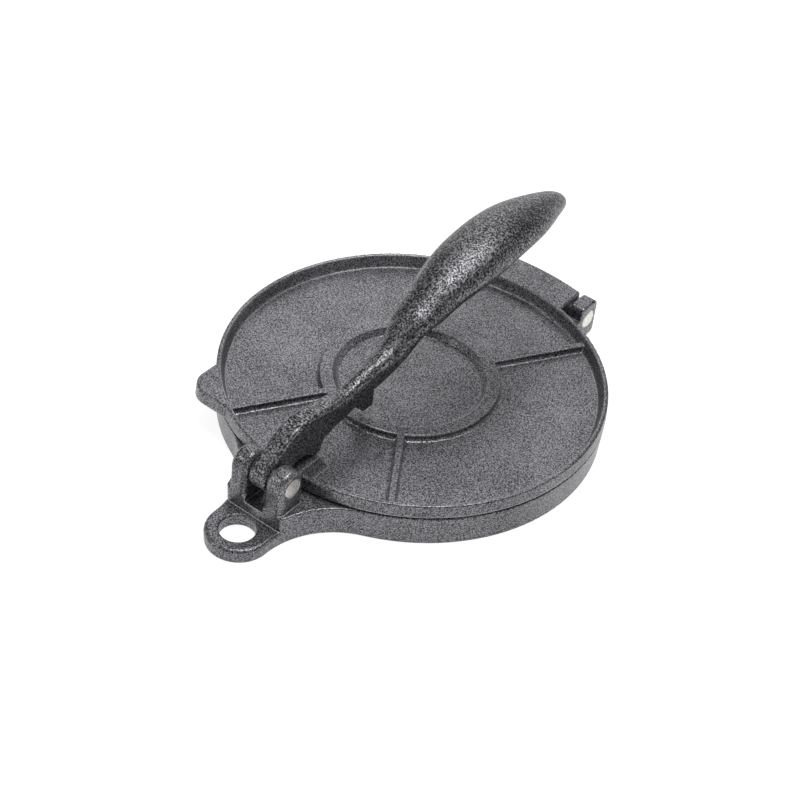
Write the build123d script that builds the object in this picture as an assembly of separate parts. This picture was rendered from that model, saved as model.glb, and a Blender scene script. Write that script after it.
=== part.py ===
"""Dough press: a cast base, a plate hinged to its back and a lever pinned to its front.

The origin is the centre of the base's underside, +Z is up, +Y runs from the lever's pin
towards the plate's hinge, and both pins lie along X. All sizes are in millimetres.
"""
from build123d import *
import os
from math import atan, cos, degrees, pi, sin, sqrt, tan, radians

# Whole press
PRESS_D = 160.0         # diameter of the plate, the size the press is sold by
PIN_D = 8.0             # lever pin and hinge pin
RUNNING_FIT = 0.08      # radial clearance of a pin in the piece that turns on it
SIDE_PLAY = 0.55        # sideways clearance of the lever between its ears

# Base casting
BASE_H = 13.0           # underside to the top of the rim
BASE_DRAFT = 2.7        # degrees that the outside leans outwards
BASE_ROUND = 0.8        # rounding of the rim's outer edge
BASE_WEB = 6.6          # thickness under the pressing face
BASE_SKIRT = 4.0        # wall round the hollow underside
PRESSING_DEPTH = 2.6    # rim top down to the pressing face

# Neck and hanging tongue of the base
NECK_HALF = 13.0        # half width of the neck, and radius of the tongue's round end
NECK_STRAIGHT = 0.85    # end of the flare to the centre of the tongue's round end
FLARE_R = 35.5          # hollow curve where the neck widens into the disc
TONGUE_T = 5.8          # thickness of the tongue
TONGUE_ROUND = 1.6      # rounding of the tongue's top edge
HANG_HOLE_D = 14.2
HANG_HOLE_SHIFT = 0.7   # hole centre beyond the centre of the round end
HANG_HOLE_ROUND = 0.8

# Ears that carry the lever
LEVER_PIN_OUT = 10.4    # plate edge to the lever pin
LEVER_PIN_RISE = 4.4    # lever pin above the plate's rim
EAR_T = 8.2             # thickness of an ear
EAR_R = 6.7             # ear round the lever pin
EAR_ROUND = 2.4         # rounding of the ears' edges
BLOCK_CORNER_R = 3.0    # upright front corners of the block under the ears
SLOT_FLOOR = 2.8        # rim top down to the floor of the slot between the ears
SLOT_BACK = 6.2         # lever pin to the back wall of the slot

# Ears that carry the plate
HINGE_OUT = 8.4         # plate edge to the hinge pin
HINGE_DROP = 8.1        # hinge pin below the plate's rim
HINGE_EAR_T = 6.9
HINGE_EAR_BACK = 6.4    # hinge pin to the ear's back
HINGE_EAR_FRONT = 5.6   # hinge pin to the front of the ear's upper part
HINGE_EAR_TOP = 7.3     # hinge pin to the ear's top
HINGE_EAR_FOOT = 1.0    # ear's underside above the table
HINGE_EAR_CORNER_R = 2.6
HINGE_EAR_ROUND = 1.0
HINGE_PLAY = 0.9        # plate's lug to each ear
HINGE_PIN_OUT = 0.3     # hinge pin beyond its right ear

# Pressing plate
PLATE_GAP = 0.3         # pressing faces apart when closed
PLATE_WEB = 3.25        # thickness of the plate's floor
DISC_SET_IN = 4.0       # nested disc, in from the plate's edge
DISC_CLEAR = 1.0        # radial clearance of the nested disc in the base
FLANGE_GAP = 1.0        # base rim to the plate's flange
FLANGE_H = 5.3          # height of the flange
FLANGE_LEAN = 0.35      # flange's outside drawn in at the top
RIM_W = 1.95            # flat top of the rim
WALL_LEAN = 1.45        # rim's inside wall drawn in at its foot
FOOT_R = 1.2            # hollow rounding at the feet of the wall, ring, ribs and pad
PLATE_ROUND = 0.8       # rounding of the plate's outer top edge
RIB_H = 2.75            # ring and ribs above the plate's floor
RIB_W = 2.8
RIB_ANGLES = (59, 120, 239, 302.5)
RING_OUTER_R = 37.0
RING_TOP_W = 5.35
RING_LEAN = 2.1
PATTERN_X = -0.9        # centre of the ring and ribs on the plate
PATTERN_Y = -0.8
EDGE_ROUND = 0.4        # small rounding of edges

# Lift tab of the plate: a corner that stands out past the flange
TAB_X = 60.4
TAB_Y = 70.0
TAB_CORNER_R = 9.5
TAB_LEAN = 0.5

# Pad that the lever leans on
PAD_HALF_TOP = 5.8
PAD_LEAN = 2.3
PAD_REACH = 16.7        # plate edge to the pad's foot

# Hinge lug of the plate
LUG_HALF = 20.2
LUG_OUT = 14.2          # plate edge to the middle of the lug's end
LUG_BOW = 1.9           # how much the lug's end bows
LUG_CORNER_R = 1.2
KNUCKLE_R = 6.5

# Lever handle
LEVER_T = 8.0           # thickness of the flat head
LEVER_GAP = 0.3         # lever's toe to the pad
NOSE_R = 6.2
NOSE_TURN = 42.0        # degrees that the nose turns past upright before the crown leaves it
HEAD_ROUND = 1.5        # rounding along the head's crown and nose
TOE_FROM = 23.6         # toe's flat, from the lever pin
TOE_TO = 26.8
RELIEF_R = 10.0         # hollow over the plate's rim
RELIEF_ALONG = 14.6
RELIEF_DROP = 9.8
STUD_ALONG = 57.4       # small cast stud under the bar
STUD_L = 6.0
STUD_W = 5.0
STUD_DROP = 2.6         # stud's end below the pin's centre
HEAD_TOP = ((1.5, 8.8), (6.1, 12.2), (10.7, 14.5), (14.5, 15.6), (22.0, 15.8), (30.5, 14.4), (37.0, 13.4))
HEAD_TOP_LEAVES = -8.0  # degrees that the crown slopes where it meets the bar
HEAD_UNDER = ((37.0, 8.0), (32.5, 2.2), (29.0, 1.4), (27.0, -1.3))
# Bar and grip: distance along, height, half width, half height, squareness
BAR = (
    (26.0, 8.0, 3.4, 5.4, 3.0),
    (36.4, 6.9, 3.7, 6.7, 3.2),
    (44.4, 7.2, 3.5, 5.6, 3.2),
    (52.4, 8.8, 3.5, 5.6, 2.8),
    (60.4, 10.5, 3.9, 5.9, 2.6),
    (68.4, 12.4, 4.9, 5.8, 2.3),
    (76.4, 17.2, 6.5, 5.2, 2.1),
    (90.4, 25.4, 9.4, 6.1, 2.0),
    (100.4, 29.8, 11.0, 7.2, 2.0),
    (120.4, 34.6, 13.8, 9.0, 2.0),
    (140.4, 36.9, 13.7, 8.9, 2.0),
    (160.4, 36.2, 11.5, 7.5, 2.0),
    (175.4, 34.4, 7.4, 6.0, 2.0),
    (184.4, 32.2, 4.4, 4.1, 2.0),
)
GRIP_TIP = (190.0, 29.4)
SECTION_POINTS = 16

# Places worked out from the sizes above
plate_r = PRESS_D / 2
base_r = plate_r - BASE_H * tan(radians(BASE_DRAFT))
pressing_z = BASE_H - PRESSING_DEPTH
disc_z = pressing_z + PLATE_GAP
floor_z = disc_z + PLATE_WEB
flange_z = BASE_H + FLANGE_GAP
rim_z = flange_z + FLANGE_H
rim_outer_r = plate_r - FLANGE_LEAN
rim_inner_r = rim_outer_r - RIM_W
floor_r = rim_inner_r - WALL_LEAN
disc_r = plate_r - DISC_SET_IN
recess_r = disc_r + DISC_CLEAR
pin_r = PIN_D / 2
lever_y = -(plate_r + LEVER_PIN_OUT)
lever_z = rim_z + LEVER_PIN_RISE
hinge_y = plate_r + HINGE_OUT
hinge_z = rim_z - HINGE_DROP
slot_half = LEVER_T / 2 + SIDE_PLAY
ear_out = slot_half + EAR_T
block_y = lever_y - EAR_R
bar_y = lever_y + BAR[0][0]
flare_x = NECK_HALF + FLARE_R
flare_y = -sqrt((base_r + FLARE_R) ** 2 - flare_x ** 2)
tongue_y = flare_y - NECK_STRAIGHT
hole_y = tongue_y - HANG_HOLE_SHIFT
hinge_ear_in = LUG_HALF + HINGE_PLAY
hinge_ear_out = hinge_ear_in + HINGE_EAR_T
FAR = 4 * plate_r       # longer than anything that is cut
NEAR = 0.01             # how closely edges are picked by place


def bar_along_x(radius, y, z, x_from, x_to):
    """Round bar along X about the line at y and z."""
    length = x_to - x_from
    return Pos((x_from + x_to) / 2, y, z) * Rot(0, 90, 0) * Cylinder(radius, length)


def box_between(x_range, y_range, z_range):
    """Box between two corners given as ranges."""
    lows = (x_range[0], y_range[0], z_range[0])
    sizes = (x_range[1] - x_range[0], y_range[1] - y_range[0], z_range[1] - z_range[0])
    return Pos(*lows) * Box(*sizes, align=(Align.MIN, Align.MIN, Align.MIN))


def level_with(shape, height):
    """Edges of a shape whose centres lie at a height."""
    return shape.edges().filter_by(lambda e: abs(e.center().Z - height) < NEAR)


def turned(*points, rounded=()):
    """Solid of revolution about Z from radius and height pairs, some of them rounded."""
    face = make_face(Plane.XZ * Polyline(*points, close=True))
    for radius, height in rounded:
        corner = face.vertices().sort_by_distance((radius, 0, height))[0]
        face = fillet(corner, EDGE_ROUND)
    return revolve(face, Axis.Z)


def side_plate(outline, x_from, x_to):
    """Extrude an outline drawn in Y and Z between two X positions."""
    return Pos(x_from, 0, 0) * extrude(Plane.YZ * outline, x_to - x_from)


def base_outline():
    """Base at the table: a disc and a neck that ends in the round tongue."""
    sweep = degrees(atan(-flare_y / flare_x))
    left = CenterArc((-flare_x, flare_y), FLARE_R, 0, sweep)
    right = CenterArc((flare_x, flare_y), FLARE_R, 180, -sweep)
    flare = make_face([left, Line(left @ 1, right @ 1), right, Line(right @ 0, left @ 0)])
    neck = Pos(0, tongue_y) * Rectangle(2 * NECK_HALF, -tongue_y, align=(Align.CENTER, Align.MIN))
    return Circle(base_r) + flare + neck + Pos(0, tongue_y) * Circle(NECK_HALF)


def ribs(z_from, z_to, reach):
    """Straight ribs from the ring outwards, the same on both castings."""
    start = RING_OUTER_R - RING_TOP_W / 2
    rib = box_between((start, reach), (-RIB_W / 2, RIB_W / 2), (z_from, z_to))
    rib = fillet(rib.edges().filter_by(Axis.X).group_by(Axis.Z)[-1], EDGE_ROUND)
    return [Rot(0, 0, angle) * rib for angle in RIB_ANGLES]


def lever_ear():
    """One ear beside the lever, rounded on every edge that shows."""
    round_end = Pos(lever_y, lever_z) * Circle(EAR_R)
    foot_z = TONGUE_T
    leg = Pos(lever_y, foot_z) * Rectangle(2 * EAR_R, lever_z - foot_z, align=(Align.CENTER, Align.MIN))
    ear = side_plate(round_end + leg, slot_half, ear_out)
    shown = ear.edges().filter_by(lambda e: e.center().Z > foot_z + NEAR)
    return fillet(shown.filter_by(Axis.X, reverse=True), EAR_ROUND)


def hinge_ear():
    """One ear beside the plate's lug."""
    root = base_r - HINGE_EAR_T
    back = hinge_y + HINGE_EAR_BACK
    front = hinge_y - HINGE_EAR_FRONT
    top = hinge_z + HINGE_EAR_TOP
    arm_top = BASE_H - BASE_ROUND
    corners = (
        (root, HINGE_EAR_FOOT), (back, HINGE_EAR_FOOT), (back, top),
        (front, top), (front, arm_top), (root, arm_top))
    shape = make_face(Polyline(*corners, close=True))
    outer = shape.vertices().filter_by(lambda v: v.Y > arm_top + NEAR or v.X > hinge_y)
    shape = fillet(outer, HINGE_EAR_CORNER_R)
    ear = side_plate(shape, hinge_ear_in, hinge_ear_out)
    shown = ear.edges().filter_by(lambda e: e.center().Y > front - EDGE_ROUND)
    return fillet(shown.filter_by(Axis.X, reverse=True), HINGE_EAR_ROUND)


def base_casting():
    """Base with its pressing face, neck, slotted ears and hinge ears."""
    body = extrude(base_outline(), BASE_H, taper=-BASE_DRAFT)
    body -= box_between((-FAR, FAR), (-FAR, block_y), (-FAR, FAR))
    on_front = body.edges().filter_by(lambda e: abs(e.center().Y - block_y) < NEAR)
    body = fillet(on_front.filter_by(lambda e: abs(e.center().X) > NECK_HALF), BLOCK_CORNER_R)
    body = fillet(level_with(body, BASE_H), BASE_ROUND)
    tongue = extrude(base_outline(), TONGUE_T, taper=-BASE_DRAFT)
    body += fillet(level_with(tongue, TONGUE_T), TONGUE_ROUND)
    body += lever_ear()
    body += mirror(lever_ear(), Plane.YZ)
    slot_y = lever_y + SLOT_BACK
    body -= box_between((-slot_half, slot_half), (-FAR, slot_y), (BASE_H - SLOT_FLOOR, FAR))
    body += hinge_ear()
    body += mirror(hinge_ear(), Plane.YZ)
    body -= Pos(0, 0, pressing_z) * Cylinder(recess_r, FAR, align=(Align.CENTER, Align.CENTER, Align.MIN))
    body -= Pos(0, hole_y, 0) * Cylinder(HANG_HOLE_D / 2, FAR)
    hole_rims = body.edges().filter_by(GeomType.CIRCLE).filter_by(
        lambda e: abs(e.radius - HANG_HOLE_D / 2) < NEAR and abs(e.center().Y - hole_y) < NEAR)
    body = fillet(hole_rims, HANG_HOLE_ROUND)
    hollow_z = pressing_z - BASE_WEB
    hollow = turned((0, 0), (base_r - BASE_SKIRT, 0), (base_r - BASE_SKIRT, hollow_z), (0, hollow_z))
    ring_in = RING_OUTER_R - RING_TOP_W - RING_LEAN
    hollow -= turned((ring_in, -FAR), (RING_OUTER_R, -FAR), (RING_OUTER_R, FAR), (ring_in, FAR))
    hollow -= ribs(-FAR, FAR, base_r)
    body -= hollow
    body -= bar_along_x(pin_r, lever_y, lever_z, -FAR, FAR)
    body -= bar_along_x(pin_r, hinge_y, hinge_z, -FAR, FAR)
    return body


def plate_outside():
    """Plate before its top is hollowed: nested disc, flange, lift tab and lug."""
    body = turned(
        (0, disc_z), (disc_r, disc_z), (disc_r, flange_z), (plate_r, flange_z),
        (rim_outer_r, rim_z), (0, rim_z))
    tab = Pos(-TAB_X, -TAB_Y) * Rectangle(TAB_X, TAB_Y, align=(Align.MIN, Align.MIN))
    tab = fillet(tab.vertices().sort_by(lambda v: v.X + v.Y)[0], TAB_CORNER_R)
    lean = degrees(atan(TAB_LEAN / FLANGE_H))
    body += Pos(0, 0, flange_z) * extrude(tab, FLANGE_H, taper=lean)
    lug_y = plate_r + LUG_OUT
    end = ThreePointArc((-LUG_HALF, lug_y - LUG_BOW), (0, lug_y), (LUG_HALF, lug_y - LUG_BOW))
    lug = make_face([end, Polyline(end @ 1, (LUG_HALF, 0), (-LUG_HALF, 0), end @ 0)])
    lug = fillet(lug.vertices().filter_by(lambda v: v.Y > NEAR), LUG_CORNER_R)
    body += Pos(0, 0, flange_z) * extrude(lug, FLANGE_H)
    body = fillet(body.edges().filter_by(lambda e: abs(e.center().Z - rim_z) < EDGE_ROUND), PLATE_ROUND)
    body += bar_along_x(KNUCKLE_R, hinge_y, hinge_z, -LUG_HALF, LUG_HALF)
    return body


def plate_dish():
    """Hollow inside the plate's rim, without the ring, ribs and pad that stand in it."""
    dish = turned(
        (0, floor_z), (floor_r, floor_z), (rim_inner_r, rim_z - EDGE_ROUND), (rim_inner_r + EDGE_ROUND, rim_z),
        (rim_inner_r + EDGE_ROUND, FAR), (0, FAR))
    rib_z = floor_z + RIB_H
    ring_top_in = RING_OUTER_R - RING_TOP_W
    ring_in, ring_out = (ring_top_in, rib_z), (RING_OUTER_R, rib_z)
    pattern = turned(
        (ring_top_in - RING_LEAN, floor_z), ring_in, ring_out, (RING_OUTER_R, floor_z), rounded=(ring_in, ring_out))
    pattern += ribs(floor_z, rib_z, plate_r)
    dish -= Pos(PATTERN_X, PATTERN_Y, 0) * pattern
    pad_half = PAD_HALF_TOP + PAD_LEAN
    pad_foot = -(plate_r - PAD_REACH)
    pad_h = rim_z - floor_z
    pad = Pos(0, pad_foot) * Rectangle(2 * pad_half, plate_r / 2, align=(Align.CENTER, Align.MAX))
    pad = Pos(0, 0, floor_z) * extrude(pad, pad_h, taper=degrees(atan(PAD_LEAN / pad_h)))
    dish -= fillet(pad.edges().group_by(Axis.Z)[-1], EDGE_ROUND)
    return fillet(level_with(dish, floor_z), FOOT_R)


def pressing_plate():
    """Upper casting, closed on the base."""
    body = plate_outside() - plate_dish()
    body -= bar_along_x(pin_r + RUNNING_FIT, hinge_y, hinge_z, -FAR, FAR)
    return body


def on_lever(along, up):
    """Point in Y and Z from its distance along and above the lever pin."""
    return (lever_y + along, lever_z + up)


def lever_head():
    """Flat head that turns between the ears and ends in the toe that presses."""
    toe = rim_z + LEVER_GAP - lever_z
    turn = radians(NOSE_TURN)
    leaves = radians(HEAD_TOP_LEAVES)
    crown_from = (-NOSE_R * sin(turn), NOSE_R * cos(turn))
    crown = Spline(
        *[on_lever(*point) for point in (crown_from, *HEAD_TOP)],
        tangents=((cos(turn), sin(turn)), (cos(leaves), sin(leaves))))
    corners = [*HEAD_UNDER, (TOE_TO, toe), (TOE_FROM, toe), (0, -NOSE_R), (0, 0)]
    under = Polyline(crown @ 1, *[on_lever(*point) for point in corners], crown @ 0)
    nose = Pos(*on_lever(0, 0)) * Circle(NOSE_R)
    relief = Pos(*on_lever(RELIEF_ALONG, -RELIEF_DROP)) * Circle(RELIEF_R)
    head = side_plate(make_face([crown, under]) + nose - relief, -LEVER_T / 2, LEVER_T / 2)
    outer = head.edges().filter_by(Axis.X, reverse=True)
    relief_y, _ = on_lever(RELIEF_ALONG - RELIEF_R, 0)
    crown_and_nose = outer.filter_by(
        lambda e: e.center().Y < relief_y or (e.center().Z > lever_z + NOSE_R and e.center().Y < bar_y))
    return fillet(crown_and_nose, HEAD_ROUND)


def grip_section(along, up, half_w, half_h, power, lean):
    """Closed outline between a rounded rectangle and an ellipse, square to the grip."""
    y, z = on_lever(along, up)
    place = Plane(origin=(0, y, z), x_dir=(1, 0, 0), z_dir=(0, cos(lean), sin(lean)))
    points = []
    for step in range(SECTION_POINTS):
        angle = 2 * pi * step / SECTION_POINTS
        across = abs(cos(angle)) ** (2 / power) * half_w
        tall = abs(sin(angle)) ** (2 / power) * half_h
        points.append((across if cos(angle) >= 0 else -across, tall if sin(angle) >= 0 else -tall))
    return place * make_face(Spline(*points, periodic=True))


def lever_grip():
    """Bar and swollen grip in one sweep of sections, closed at the tip."""
    places = [(row[0], row[1]) for row in BAR] + [GRIP_TIP]
    sections = []
    for index, row in enumerate(BAR):
        before = places[max(index - 1, 0)]
        after = places[index + 1]
        lean = atan((after[1] - before[1]) / (after[0] - before[0]))
        sections.append(grip_section(*row, lean))
    tip_y, tip_z = on_lever(*GRIP_TIP)
    return loft(sections + [Vertex(0, tip_y, tip_z)])


def lever_handle():
    """Lever in one casting, with its pin bore."""
    stud_y, _ = on_lever(STUD_ALONG, 0)
    stud = box_between(
        (-STUD_W / 2, STUD_W / 2), (stud_y - STUD_L / 2, stud_y + STUD_L / 2),
        (lever_z - STUD_DROP, lever_z + BAR[3][1]))
    body = lever_head() + lever_grip() + stud
    return body - bar_along_x(pin_r + RUNNING_FIT, lever_y, lever_z, -FAR, FAR)


def lever_pin():
    """Plain pin, its ends flush with the ears."""
    pin = bar_along_x(pin_r, lever_y, lever_z, -ear_out, ear_out)
    return chamfer(pin.edges().filter_by(GeomType.CIRCLE), EDGE_ROUND)


def hinge_pin():
    """Plain pin that stands out a little past its right ear."""
    pin = bar_along_x(pin_r, hinge_y, hinge_z, -hinge_ear_out, hinge_ear_out + HINGE_PIN_OUT)
    return chamfer(pin.edges().filter_by(GeomType.CIRCLE), EDGE_ROUND)


PIECES = {
    "base_casting": base_casting,
    "pressing_plate": pressing_plate,
    "lever_handle": lever_handle,
    "lever_pin": lever_pin,
    "hinge_pin": hinge_pin,
}

os.makedirs("parts", exist_ok=True)
for name, make in PIECES.items():
    piece = make()
    piece.label = name
    export_step(piece, f"parts/{name}.step")
    box = piece.bounding_box()
    print(name, "volume", round(piece.volume), "from", box.min, "to", box.max)
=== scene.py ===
import logging
import math
from dataclasses import dataclass
from enum import Enum
from typing import Any

import bpy
from mathutils import Matrix, Vector

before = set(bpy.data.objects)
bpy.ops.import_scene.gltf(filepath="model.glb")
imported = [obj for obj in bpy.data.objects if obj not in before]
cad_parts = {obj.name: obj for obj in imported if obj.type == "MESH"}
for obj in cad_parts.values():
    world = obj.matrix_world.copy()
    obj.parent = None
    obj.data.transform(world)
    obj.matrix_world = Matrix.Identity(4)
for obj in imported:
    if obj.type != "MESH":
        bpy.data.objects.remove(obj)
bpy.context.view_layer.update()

log = logging.getLogger("dough_press")

MM = 0.001

# How far the patterns are turned about x, y and z, in radians
PATTERN_TURN = (0.61, 0.43, 0.37)

# The value that a noise texture varies about
NOISE_MIDDLE = 0.5

# Rays that the bevel node sends out at each point
BEVEL_SAMPLES = 8

# Sockets of the mix node when it mixes colours
MIX_COLOUR_A = 6
MIX_COLOUR_B = 7
MIX_COLOUR_OUT = 2


class Node(str, Enum):
    """Blender's own names of the nodes that the finishes use."""

    COORDS = "ShaderNodeTexCoord"
    MAPPING = "ShaderNodeMapping"
    NOISE = "ShaderNodeTexNoise"
    RAMP = "ShaderNodeValToRGB"
    MATH = "ShaderNodeMath"
    MIX = "ShaderNodeMix"
    BUMP = "ShaderNodeBump"
    BEVEL = "ShaderNodeBevel"
    GEOMETRY = "ShaderNodeNewGeometry"
    VECTOR_MATH = "ShaderNodeVectorMath"
    MAP_RANGE = "ShaderNodeMapRange"
    LIGHT_PATH = "ShaderNodeLightPath"
    EMISSION = "ShaderNodeEmission"
    ADD_SHADER = "ShaderNodeAddShader"
    SEPARATE = "ShaderNodeSeparateXYZ"


def linear(hex_colour: str) -> tuple[float, float, float, float]:
    """Turn an sRGB hex colour to the linear values that a shader takes.

    Args:
        hex_colour: Six hex digits with a leading hash.

    Returns:
        Linear red, green and blue, and an alpha of one.
    """
    parts = [int(hex_colour[start:start + 2], 16) / 255 for start in (1, 3, 5)]
    red, green, blue = (c / 12.92 if c <= 0.04045 else ((c + 0.055) / 1.055) ** 2.4 for c in parts)
    return (red, green, blue, 1.0)


def per_metre(period_mm: float) -> float:
    """Texture scale that repeats a pattern about every so many millimetres."""
    return 1 / (period_mm * MM)


def add_node(
    tree: bpy.types.NodeTree, kind: Node, inputs: dict[Any, Any] | None = None, **settings: Any
) -> Any:
    """Add a node to a material with its settings, values and links.

    Args:
        tree: Node tree that the node goes into.
        kind: Which node it is.
        inputs: Value or output socket for each input, by the input's name or number.
        **settings: The node's own properties.

    Returns:
        The new node.
    """
    node = tree.nodes.new(kind.value)
    for name, value in settings.items():
        setattr(node, name, value)
    for key, value in (inputs or {}).items():
        if isinstance(value, bpy.types.NodeSocket):
            tree.links.new(value, node.inputs[key])
        else:
            node.inputs[key].default_value = value
    return node


def ramp(tree: bpy.types.NodeTree, factor: Any, stops: tuple[tuple[float, str], ...]) -> Any:
    """Add a colour ramp.

    Args:
        tree: Node tree that the ramp goes into.
        factor: Output socket that drives it.
        stops: Position and hex colour of each stop.

    Returns:
        The ramp's colour output.
    """
    node = add_node(tree, Node.RAMP, {"Fac": factor})
    elements = node.color_ramp.elements
    while len(elements) < len(stops):
        # Its place is set in the next loop
        elements.new(0.5)
    for element, (position, colour) in zip(elements, stops):
        element.position = position
        element.color = linear(colour)
    return node.outputs["Color"]


def turned_coords(tree: bpy.types.NodeTree) -> Any:
    """Object coordinates turned askew, so that no flat face lies along a pattern's grid.

    Args:
        tree: Node tree to add to.

    Returns:
        Output socket with the coordinates.
    """
    whole = add_node(tree, Node.COORDS)
    askew = add_node(tree, Node.MAPPING, {"Vector": whole.outputs["Object"], "Rotation": PATTERN_TURN})
    return askew.outputs["Vector"]


def coat(node: str, material: bpy.types.Material) -> None:
    """Put one material in every slot of a CAD node.

    Args:
        node: The node's name.
        material: What it gets.
    """
    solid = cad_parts[node]
    if not solid.material_slots:
        solid.data.materials.append(material)
    for place in solid.material_slots:
        place.material = material
    log.info("%s finished in %s", node, material.name)


@dataclass(frozen=True)
class HammertoneCoating:
    """Silver-black hammertone coating, sprayed and baked on a sand casting.

    Aluminium flake floats in a dark binder and curls into cells, so the eye sees bright specks
    between dark dimples, and a broad soft gloss. The flake lies denser in some patches than in
    others. Edges and inner corners get a painted highlight, a paler colour that stands in for
    the light caught on their roundings. The cells are drawn about as fine as the
    photograph shows them, half a millimetre wide and a little wider on the lever.
    """

    name: str
    hollow: str = "#232224"
    body: str = "#6a696e"
    speck: str = "#a09fa3"
    # Colour of the painted highlight on edges and inner corners
    highlight_colour: str = "#e4e4e5"
    cell_mm: float = 0.52
    grain_mm: float = 0.3
    grain_share: float = 0.15
    patch_mm: float = 24.0
    patch_shift: float = 0.12
    dimple_mm: float = 0.08
    contrast: float = 0.26
    roughness: float = 0.32
    metallic: float = 0.6
    # Radius of the rounded edges, which also sets how wide the painted edge highlight is
    edge_width_mm: float = 0.65
    # How strong the painted edge highlight is
    edge_highlight_strength: float = 1.6

    # Cosine of the angle between the rounded and the true normal where the painted edge
    # highlight starts, and where it is full
    highlight_starts: float = 0.99
    highlight_full: float = 0.88

    def speckle(self, tree: bpy.types.NodeTree, place: Any) -> Any:
        """Mix the cells with a little finer grain.

        Args:
            tree: Node tree to add to.
            place: Output socket with the coordinates.

        Returns:
            Output socket with the height of the speckle, low in a dimple.
        """
        cells = add_node(tree, Node.NOISE, {
            "Vector": place, "Scale": per_metre(self.cell_mm),
            "Detail": 1.0, "Roughness": 0.4, "Distortion": 0.4})
        grain = add_node(tree, Node.NOISE, {
            "Vector": place, "Scale": per_metre(self.grain_mm), "Detail": 1.0, "Roughness": 0.5})
        mixed = add_node(tree, Node.MIX, {
            "Factor": self.grain_share, "A": cells.outputs["Fac"],
            "B": grain.outputs["Fac"]}, data_type="FLOAT")
        return mixed.outputs["Result"]

    def tone(self, tree: bpy.types.NodeTree, place: Any, speckle: Any) -> Any:
        """Colour the speckle from binder to flake, a little lighter or darker from patch to patch.

        Args:
            tree: Node tree to add to.
            place: Output socket with the coordinates.
            speckle: Output socket with the height of the speckle.

        Returns:
            Output socket with the colour.
        """
        patches = add_node(tree, Node.NOISE, {
            "Vector": place, "Scale": per_metre(self.patch_mm), "Detail": 2.0, "Roughness": 0.5})
        shifted = add_node(tree, Node.MATH, {
            0: patches.outputs["Fac"], 1: self.patch_shift, 2: speckle}, operation="MULTIPLY_ADD")
        centred = add_node(tree, Node.MATH, {
            0: shifted.outputs["Value"], 1: self.patch_shift * NOISE_MIDDLE}, operation="SUBTRACT")
        return ramp(tree, centred.outputs["Value"], (
            (NOISE_MIDDLE - self.contrast / 2, self.hollow),
            (NOISE_MIDDLE, self.body),
            (NOISE_MIDDLE + self.contrast / 2, self.speck)))

    def painted_edge_highlight(self, tree: bpy.types.NodeTree, rounded: Any, speckle: Any) -> Any:
        """Find how strong the painted highlight on edges and inner corners is, broken up by the speckle.

        Args:
            tree: Node tree to add to.
            rounded: Output socket with the normal of the rounded edges.
            speckle: Output socket with the height of the speckle.

        Returns:
            Output socket with the share of the painted highlight's colour.
        """
        true_normal = add_node(tree, Node.GEOMETRY).outputs["Normal"]
        facing = add_node(tree, Node.VECTOR_MATH, {0: rounded, 1: true_normal}, operation="DOT_PRODUCT")
        crease_highlight = add_node(tree, Node.MAP_RANGE, {
            "Value": facing.outputs["Value"], "From Min": self.highlight_starts, "From Max": self.highlight_full,
            "To Min": 0.0, "To Max": self.edge_highlight_strength})
        broken_highlight = add_node(tree, Node.MATH, {0: crease_highlight.outputs["Result"], 1: speckle}, operation="MULTIPLY")
        return broken_highlight.outputs["Value"]

    def material(self) -> bpy.types.Material:
        """Build the material.

        Returns:
            The new material, named for the finish.
        """
        made = bpy.data.materials.new(self.name)
        made.use_nodes = True
        tree = made.node_tree
        shader = tree.nodes["Principled BSDF"]
        place = turned_coords(tree)
        speckle = self.speckle(tree, place)
        colour = self.tone(tree, place, speckle)
        bevel = add_node(tree, Node.BEVEL, {"Radius": self.edge_width_mm * MM}, samples=BEVEL_SAMPLES)
        rounded = bevel.outputs["Normal"]
        # Mix the painted edge highlight into the colour, on roundings and in inner corners
        highlighted = add_node(tree, Node.MIX, {
            "Factor": self.painted_edge_highlight(tree, rounded, speckle), MIX_COLOUR_A: colour,
            MIX_COLOUR_B: linear(self.highlight_colour)}, data_type="RGBA")
        bump = add_node(tree, Node.BUMP, {
            "Height": speckle, "Normal": rounded, "Strength": 1.0, "Distance": self.dimple_mm * MM})
        tree.links.new(highlighted.outputs[MIX_COLOUR_OUT], shader.inputs["Base Color"])
        tree.links.new(bump.outputs["Normal"], shader.inputs["Normal"])
        shader.inputs["Roughness"].default_value = self.roughness
        shader.inputs["Metallic"].default_value = self.metallic
        return made


@dataclass(frozen=True)
class CutSteelRod:
    """Plain mild steel rod, sawn and left bright, a little dulled by handling."""

    name: str = "cut_steel_rod"
    bright: str = "#f4f1ee"
    dull: str = "#cdc7c2"
    mark_mm: float = 0.9
    mark_depth_mm: float = 0.02
    mark_strength: float = 0.4
    dull_below: float = 0.35
    bright_above: float = 0.65
    smoothest: float = 0.28
    roughest: float = 0.53
    metallic: float = 0.9

    def material(self) -> bpy.types.Material:
        """Build the material.

        Returns:
            The new material, named for the finish.
        """
        made = bpy.data.materials.new(self.name)
        made.use_nodes = True
        tree = made.node_tree
        shader = tree.nodes["Principled BSDF"]
        place = turned_coords(tree)
        noise = add_node(tree, Node.NOISE, {
            "Vector": place, "Scale": per_metre(self.mark_mm), "Detail": 3.0, "Roughness": 0.6})
        marks = noise.outputs["Fac"]
        colour = ramp(tree, marks, ((self.dull_below, self.dull), (self.bright_above, self.bright)))
        scuffs = add_node(tree, Node.MAP_RANGE, {
            "Value": marks, "To Min": self.smoothest, "To Max": self.roughest})
        bump = add_node(tree, Node.BUMP, {
            "Height": marks, "Strength": self.mark_strength, "Distance": self.mark_depth_mm * MM})
        tree.links.new(colour, shader.inputs["Base Color"])
        tree.links.new(scuffs.outputs["Result"], shader.inputs["Roughness"])
        tree.links.new(bump.outputs["Normal"], shader.inputs["Normal"])
        shader.inputs["Metallic"].default_value = self.metallic
        return made


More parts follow.
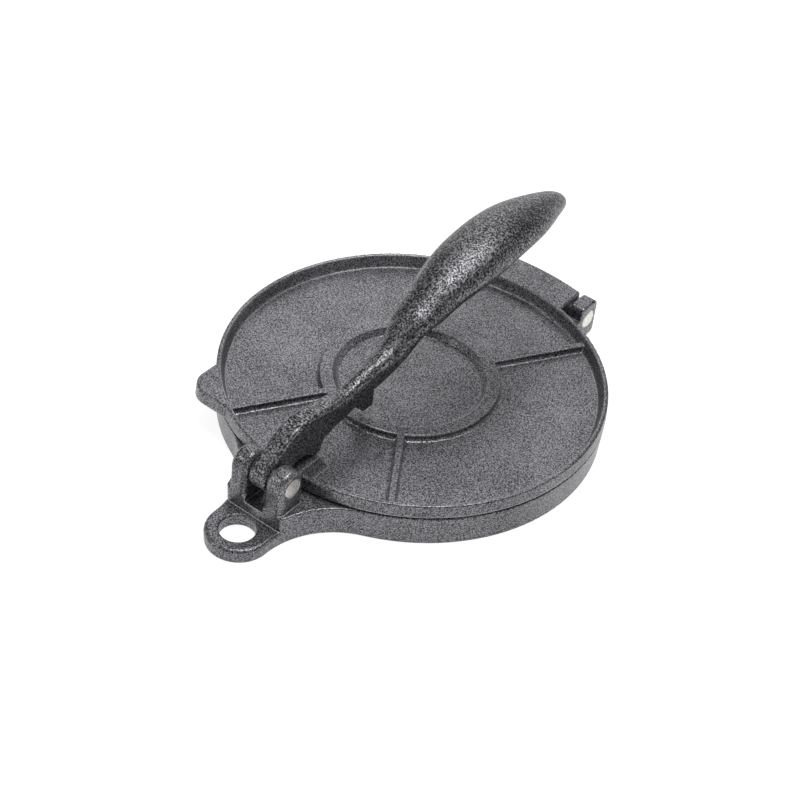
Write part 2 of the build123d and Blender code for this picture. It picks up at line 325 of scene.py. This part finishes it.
@dataclass
class Castings:
    """The base, the pressing plate and the lever, whose coating is coarser and more metallic."""

    base_finish: HammertoneCoating = HammertoneCoating("hammertone_base")
    plate_finish: HammertoneCoating = HammertoneCoating("hammertone_plate")
    # The lever's painted edge highlight is greyer and weaker
    lever_finish: HammertoneCoating = HammertoneCoating(
        "hammertone_lever", hollow="#1b1b1c", body="#555458", speck="#9b9b9d", highlight_colour="#b4b4b5",
        cell_mm=0.72, dimple_mm=0.12, roughness=0.4, metallic=0.78, edge_highlight_strength=0.8)

    def dress(self) -> None:
        """Give each casting its coating."""
        finishes = {
            "base_casting": self.base_finish,
            "pressing_plate": self.plate_finish,
            "lever_handle": self.lever_finish,
        }
        for name, finish in finishes.items():
            coat(name, finish.material())


@dataclass
class Pins:
    """The lever's pin and the plate's hinge pin."""

    finish: CutSteelRod = CutSteelRod()

    def dress(self) -> None:
        """Give both pins the look of cut rod."""
        steel = self.finish.material()
        for name in ("lever_pin", "hinge_pin"):
            coat(name, steel)


@dataclass(frozen=True)
class SoftBox:
    """Square lamp with an even face, sizes in metres and power in watts."""

    name: str
    place: tuple[float, float, float]
    side: float
    power: float

    def hang(self) -> None:
        """Hang the lamp so that it faces the press."""
        lamp = bpy.data.lights.new(self.name, "AREA")
        lamp.size = self.side
        lamp.energy = self.power
        holder = bpy.data.objects.new(self.name, lamp)
        bpy.context.scene.collection.objects.link(holder)
        holder.location = self.place
        holder.rotation_euler = (-Vector(self.place)).to_track_quat("-Z", "Y").to_euler()
        log.info("%s lamp hung", self.name)


@dataclass
class Studio:
    """White floor and surround, soft lamps and the photograph's camera, with lengths in metres."""

    floor_side: float = 6.0
    floor_colour: str = "#b0b0b0"
    floor_glow: float = 0.86
    world_level: float = 0.2

    # Height of a reflected ray's direction under which it meets the white backdrop
    backdrop_top: float = 0.25

    lamps: tuple[SoftBox, ...] = (
        SoftBox("overhead", (0.06, 0.12, 1.1), 0.7, 8.2),
        SoftBox("back", (-0.85, 1.15, 0.95), 1.0, 4.0),
        SoftBox("front_left", (-0.6, -0.95, 0.9), 0.16, 1.7),
    )

    # Fitted to the photograph's ellipses of the rim, the ring, the base and the hole
    camera_place: tuple[float, float, float] = (0.31596, -0.47902, 0.49473)
    camera_target: tuple[float, float, float] = (-0.004957, 0.000095, 0.0)
    camera_roll_deg: float = 6.700
    lens_mm: float = 82.66
    sensor_mm: float = 36.0

    def seen_directly(self, tree: bpy.types.NodeTree) -> Any:
        """Factor that is one for what the camera sees, straight or in a reflection.

        Args:
            tree: Node tree to add to.

        Returns:
            Output socket with the factor.
        """
        path = add_node(tree, Node.LIGHT_PATH)
        mirrored = add_node(tree, Node.MATH, {
            0: path.outputs["Is Glossy Ray"], 1: path.outputs["Is Transmission Ray"]}, operation="MAXIMUM")
        seen = add_node(tree, Node.MATH, {
            0: path.outputs["Is Camera Ray"], 1: mirrored.outputs["Value"]}, operation="MAXIMUM")
        return seen.outputs["Value"]

    def floor(self) -> None:
        """Lay the floor, grey to the lamps and white to the eye, with the press's faint shadow."""
        bpy.ops.mesh.primitive_plane_add(size=self.floor_side, location=(0, 0, 0))
        sweep = bpy.context.object
        sweep.name = "studio_floor"
        paper = bpy.data.materials.new("white_paper")
        paper.use_nodes = True
        tree = paper.node_tree
        shader = tree.nodes["Principled BSDF"]
        shader.inputs["Base Color"].default_value = linear(self.floor_colour)
        shader.inputs["Roughness"].default_value = 1.0
        shader.inputs["Specular IOR Level"].default_value = 0.0
        level = add_node(tree, Node.MATH, {
            0: self.seen_directly(tree), 1: self.floor_glow}, operation="MULTIPLY")
        glow = add_node(tree, Node.EMISSION, {"Strength": level.outputs["Value"]})
        both = add_node(tree, Node.ADD_SHADER, {0: shader.outputs["BSDF"], 1: glow.outputs["Emission"]})
        tree.links.new(both.outputs["Shader"], tree.nodes["Material Output"].inputs["Surface"])
        sweep.data.materials.append(paper)
        log.info("floor laid")

    def world(self) -> None:
        """Surround the press with dim even light, which looks white behind it and in low reflections."""
        world = bpy.data.worlds.new("white_surround")
        bpy.context.scene.world = world
        world.use_nodes = True
        tree = world.node_tree
        background = tree.nodes["Background"]
        background.inputs["Color"].default_value = (1, 1, 1, 1)
        direction = add_node(tree, Node.SEPARATE, {0: add_node(tree, Node.COORDS).outputs["Generated"]})
        low = add_node(tree, Node.MATH, {
            0: direction.outputs["Z"], 1: self.backdrop_top}, operation="LESS_THAN")
        mirrored = add_node(tree, Node.MATH, {
            0: self.seen_directly(tree), 1: low.outputs["Value"]}, operation="MULTIPLY")
        camera = add_node(tree, Node.LIGHT_PATH).outputs["Is Camera Ray"]
        white = add_node(tree, Node.MATH, {0: camera, 1: mirrored.outputs["Value"]}, operation="MAXIMUM")
        level = add_node(tree, Node.MAP_RANGE, {
            "Value": white.outputs["Value"], "To Min": self.world_level, "To Max": 1.0})
        tree.links.new(level.outputs["Result"], background.inputs["Strength"])
        log.info("surround lit")

    def light(self) -> None:
        """Hang every lamp."""
        for lamp in self.lamps:
            lamp.hang()

    def camera(self) -> None:
        """Set the camera where the photograph was taken, with its roll."""
        data = bpy.data.cameras.new("photograph")
        data.lens = self.lens_mm
        data.sensor_width = self.sensor_mm
        holder = bpy.data.objects.new("photograph", data)
        bpy.context.scene.collection.objects.link(holder)
        place = Vector(self.camera_place)
        back = (place - Vector(self.camera_target)).normalized()
        level = (-back).cross(Vector((0, 0, 1))).normalized()
        upright = level.cross(-back)
        roll = math.radians(self.camera_roll_deg)
        right = level * math.cos(roll) + upright * math.sin(roll)
        upward = -level * math.sin(roll) + upright * math.cos(roll)
        turned = Matrix((right, upward, back)).transposed().to_4x4()
        turned.translation = place
        holder.matrix_world = turned
        bpy.context.scene.camera = holder
        log.info("camera set")

    def build(self) -> None:
        """Set up everything around the press."""
        self.camera()
        self.world()
        self.floor()
        self.light()
        bpy.context.scene.view_settings.view_transform = "Standard"


def main() -> None:
    """Dress the press and build the studio."""
    logging.basicConfig(level=logging.INFO, format="%(name)s: %(message)s")
    Studio().build()
    Castings().dress()
    Pins().dress()


if __name__ == "__main__":
    main()
